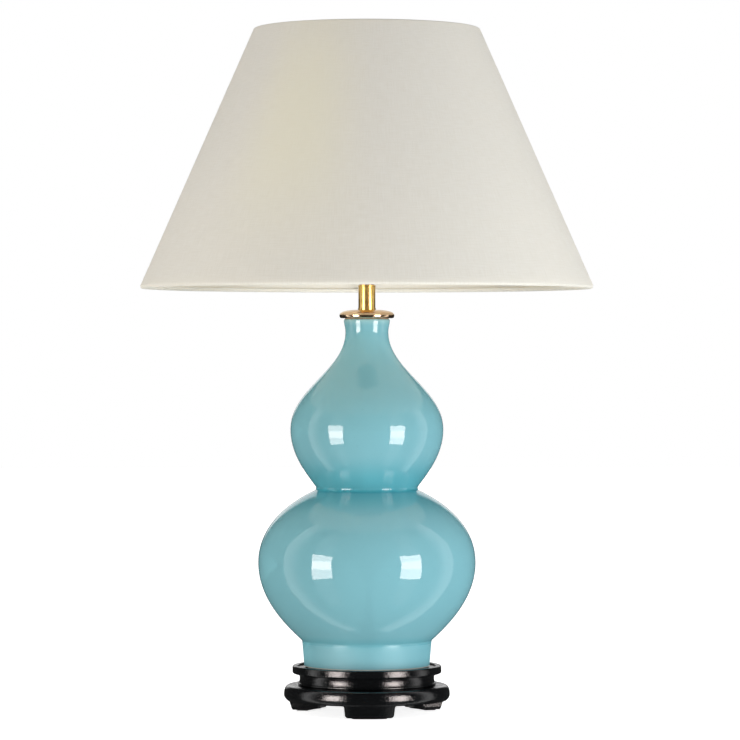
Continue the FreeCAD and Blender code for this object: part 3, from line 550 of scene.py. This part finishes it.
# --- the materials by slot ------------------------------------------------------------------------
# colour, tarnished colour, least and greatest roughness, lathe lines per metre, their depth
BRASSES = {
    "polished_brass": (rgb(244, 203, 122), rgb(224, 176, 88), (0.20, 0.30), 5200.0, 0.004 * MM),
    # the cap's brass is paler and pinker than the tube's: brass colour with a painted reflection of the cream
    # shade above
    "cap_brass": (rgb(236, 206, 172), rgb(206, 168, 130), (0.10, 0.18), 5200.0, 0.004 * MM),
    "holder_brass": (rgb(214, 172, 104), rgb(186, 142, 76), (0.20, 0.30), 3800.0, 0.008 * MM),
    "contact_brass": (rgb(220, 184, 120), rgb(190, 152, 92), (0.26, 0.38), 3000.0, 0.01 * MM),
}
# darker and lighter colour, least and greatest roughness, grain per metre, its depth
MOULDED = {
    "black_rubber": (rgb(24, 24, 24), rgb(38, 38, 38), (0.66, 0.78), 800.0, 0.05 * MM),
    "cork_felt": (rgb(112, 82, 54), rgb(176, 138, 98), (0.84, 0.96), 700.0, 0.2 * MM),
    "black_moulding": (rgb(26, 25, 25), rgb(38, 37, 37), (0.32, 0.44), 1200.0, 0.02 * MM),
    "black_ceramic": (rgb(22, 22, 24), rgb(36, 36, 38), (0.16, 0.28), 500.0, 0.02 * MM),
}
# tint, least and greatest roughness, how clear
GLASSES = {
    "bulb_glass": (rgb(244, 242, 234), (0.35, 0.40), 0.55),
    "bulb_stem_glass": (rgb(232, 240, 240), (0.05, 0.10), 0.85),
}
# the colours of the two threads, and the share of the light that comes through from behind
CLOTHS = {
    "shade_cloth": (rgb(238, 236, 228), rgb(244, 243, 237), 0.20),
    "shade_lining_sheet": (rgb(240, 239, 234), rgb(246, 245, 241), 0.30),
}

materials = {
    "glaze": glaze(),
    "lacquered_wood": lacquered_wood(),
    "zinc_steel": plated_steel("zinc_steel"),
    "bulb_cap_metal": plated_steel("bulb_cap_metal"),
    "felt": felt(),
    "carrier_white": powder_coat(),
    "filament_coat": filament(),
}
for make, table in ((brass, BRASSES), (moulded, MOULDED), (glass, GLASSES), (cloth, CLOTHS)):
    for slot_name, values in table.items():
        materials[slot_name] = make(slot_name, *values)


def paint(piece, slot_name):
    if piece.material_slots:
        for slot in piece.material_slots:
            slot.material = materials[slot_name]
    else:
        piece.data.materials.append(materials[slot_name])


for part in frame["record"]["subparts"]:
    paint(nodes[part["node"]], part["material_slot"])
# the cap gets the paler brass, its paleness a painted reflection of the cream shade
paint(nodes["vase_cap"], "cap_brass")


# --- pieces shown instead of nodes ----------------------------------------------------------------
def stand_for(piece, node_name, body_name, slot_name):
    """The piece is shown instead of a node of the model and moves with its body."""
    piece.data.materials.clear()
    paint(piece, slot_name)
    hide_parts(node_name)
    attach(piece, body_name)


cloth_piece = shade_cloth()
stand_for(cloth_piece, "shade_fabric", "shade", "shade_cloth")
stand_for(felt_pads(), "foot_pads", "base", "felt")
stand_for(threaded_rod(), "threaded_rod", "base", "zinc_steel")

# --- floor: white to the camera, clear from below -------------------------------------------------
FLOOR_HALF = 9.0
FLOOR_GREY = (0.88, 0.88, 0.88, 1.0)
FLOOR_ROUGHNESS = 0.9
FLOOR_LIFT = 0.86

corners = [(x * FLOOR_HALF, y * FLOOR_HALF, 0.0) for x, y in ((-1, -1), (1, -1), (1, 1), (-1, 1))]
floor = mesh_object("floor", corners, [(0, 1, 2, 3)])
floor.visible_glossy = False
floor.visible_shadow = False
floor_paint = Paint("floor")
rays, straight = floor_paint.straight_ray()
floor_paint.finish(Base_Color=FLOOR_GREY, Roughness=FLOOR_ROUGHNESS, Specular_IOR_Level=0.0,
                   Emission_Color=WHITE, Emission_Strength=floor_paint.math("MULTIPLY", straight, FLOOR_LIFT))
underside = floor_paint.node("ShaderNodeNewGeometry").outputs["Backfacing"]
from_below = floor_paint.math("MULTIPLY", rays["Is Camera Ray"], underside)
clear = floor_paint.node("ShaderNodeBsdfTransparent").outputs[0]
surface = floor_paint.blend(from_below, floor_paint.shader.outputs[0], clear)
floor.data.materials.append(floor_paint.show(surface))

# --- world: white to the camera and through glass, dark with pale panels in reflections -----------
SEEN = 1.0
AMBIENT = 0.52
GREY = 0.03
PANEL = 1.2
BACKDROP = 1.0
# where the panels start and end to either side of the front, and where the backdrop starts, in degrees
PANEL_START = (74.0, 96.0)
PANEL_END = (101.0, 103.0)
BACKDROP_START = (160.0, 167.0)
BACKDROP_FOOT = (2.0, 5.0)

world = bpy.data.worlds.new("studio")
bpy.context.scene.world = world
world.use_nodes = True
world.node_tree.nodes.clear()
studio = Wiring(world.node_tree)


def across(angle, limits, new):
    """From one new value to the other as the angle crosses the limits, in degrees."""
    return studio.scaled(angle, [math.radians(limit) for limit in limits], new, "SMOOTHSTEP")


def white_light(strength):
    return studio.node("ShaderNodeBackground", {"Color": WHITE, "Strength": strength}).outputs[0]


look = studio.node("ShaderNodeTexCoord").outputs["Generated"]
x, y, z = studio.node("ShaderNodeSeparateXYZ", {0: look}).outputs
bearing = studio.math("ABSOLUTE", studio.math("ARCTAN2", x, studio.math("MULTIPLY", y, -1.0)))
elevation = studio.math("ARCSINE", z)
panel = studio.math("MULTIPLY", across(bearing, PANEL_START, (0.0, PANEL)),
                    across(bearing, PANEL_END, (1.0, 0.0)))
backdrop = studio.math("MULTIPLY", across(bearing, BACKDROP_START, (0.0, BACKDROP)),
                       across(elevation, BACKDROP_FOOT, (0.0, 1.0)))
mirrored = studio.math("ADD", studio.math("ADD", panel, backdrop), GREY)
rays, straight = studio.straight_ray()
unseen = studio.blend(rays["Is Glossy Ray"], white_light(AMBIENT), white_light(mirrored))
studio.node("ShaderNodeOutputWorld", {"Surface": studio.blend(straight, unseen, white_light(SEEN))})

# --- lamps ----------------------------------------------------------------------------------------
# the elevations between which the vase's middle sees a lamp, in degrees
BOX = (-21.0, 13.5)
KEY = (-40.0, 13.5)
BAND = (-9.0, 4.0)
SPILL = (-55.0, 50.0)
PURE_WHITE = (1.0, 1.0, 1.0)
WARM_WHITE = (1.0, 0.90, 0.87)
SUNNY_WHITE = (1.0, 0.975, 0.92)
SKY_WHITE = (0.95, 0.98, 1.0)
LEFT = -49.0
RIGHT = 44.2
# name, azimuth, elevations, width in degrees, distance, watts, colour, whether glossy surfaces show it;
# the distances differ because lamps in one plane hide each other
LAMPS = (
    ("key_left", -55.0, KEY, 36.0, 1.50, 16.8, SUNNY_WHITE, False),
    ("key_right", 53.0, KEY, 36.0, 1.50, 22.0, SKY_WHITE, False),
    ("gloss_left", LEFT, BOX, 22.0, 1.47, 15.0, WARM_WHITE, True),
    ("band_left", LEFT, BAND, 21.0, 1.44, 3.0, WARM_WHITE, True),
    ("spill_left", LEFT, SPILL, 20.0, 1.60, 3.0, PURE_WHITE, True),
    ("gloss_right", RIGHT, BOX, 23.5, 1.47, 18.0, WARM_WHITE, True),
    ("band_right", RIGHT, BAND, 22.5, 1.44, 2.0, WARM_WHITE, True),
    ("spill_right", RIGHT, SPILL, 20.0, 1.60, 3.0, PURE_WHITE, True),
)
GLOW_POWER = 0.5
GLOW_COLOUR = (1.0, 0.95, 0.88)
GLOW_R = 0.04
GLOW_Z = 0.668


def soft_box(name, azimuth, elevations, width_angle, distance, power, colour, glossy):
    """A rectangular lamp that either shows in glossy surfaces or lights the matt ones."""
    turn = math.radians(azimuth)
    away = Vector((math.sin(turn), -math.cos(turn), 0.0))
    low_z, high_z = [distance * math.tan(math.radians(angle)) for angle in elevations]
    data = bpy.data.lights.new(name, "AREA")
    data.shape = "RECTANGLE"
    data.size = 2 * distance * math.tan(math.radians(width_angle / 2))
    data.size_y = high_z - low_z
    data.energy = power
    data.color = colour
    lamp = bpy.data.objects.new(name, data)
    lamp.location = away * distance + Vector((0.0, 0.0, VASE_MIDDLE_Z + (low_z + high_z) / 2))
    lamp.rotation_euler = away.to_track_quat("Z", "Y").to_euler()
    lamp.visible_camera = False
    lamp.visible_glossy = glossy
    lamp.visible_diffuse = not glossy
    lamp.visible_transmission = not glossy
    bpy.context.collection.objects.link(lamp)


for settings in LAMPS:
    soft_box(*settings)

glow = bpy.data.lights.new("warm_inside", "POINT")
glow.energy = GLOW_POWER
glow.color = GLOW_COLOUR
glow.shadow_soft_size = GLOW_R
glow_lamp = bpy.data.objects.new("warm_inside", glow)
glow_lamp.location = (0.0, 0.0, GLOW_Z)
glow_lamp.visible_camera = False
glow_lamp.visible_glossy = False
bpy.context.collection.objects.link(glow_lamp)

# --- camera ---------------------------------------------------------------------------------------
CAMERA_AWAY = 4.16
CAMERA_Z = 0.401
CAMERA_TURN = math.radians(-2.0)
CAMERA_LENS = 180.0
CAMERA_SENSOR = 36.0
CAMERA_FAR = 60.0
AIM_Z = 0.385
AIM_RIGHT = 0.0035

camera_data = bpy.data.cameras.new("camera")
camera_data.lens = CAMERA_LENS
camera_data.sensor_width = CAMERA_SENSOR
camera_data.clip_end = CAMERA_FAR
camera = bpy.data.objects.new("camera", camera_data)
bpy.context.collection.objects.link(camera)
right = Vector((math.cos(CAMERA_TURN), math.sin(CAMERA_TURN), 0.0))
ahead = Vector((-math.sin(CAMERA_TURN), math.cos(CAMERA_TURN), 0.0))
camera.location = Vector((0.0, 0.0, CAMERA_Z)) - ahead * CAMERA_AWAY
aim = Vector((0.0, 0.0, AIM_Z)) + right * AIM_RIGHT
camera.rotation_euler = (aim - camera.location).to_track_quat("-Z", "Y").to_euler()
bpy.context.scene.camera = camera
bpy.context.scene.view_settings.view_transform = "Standard"
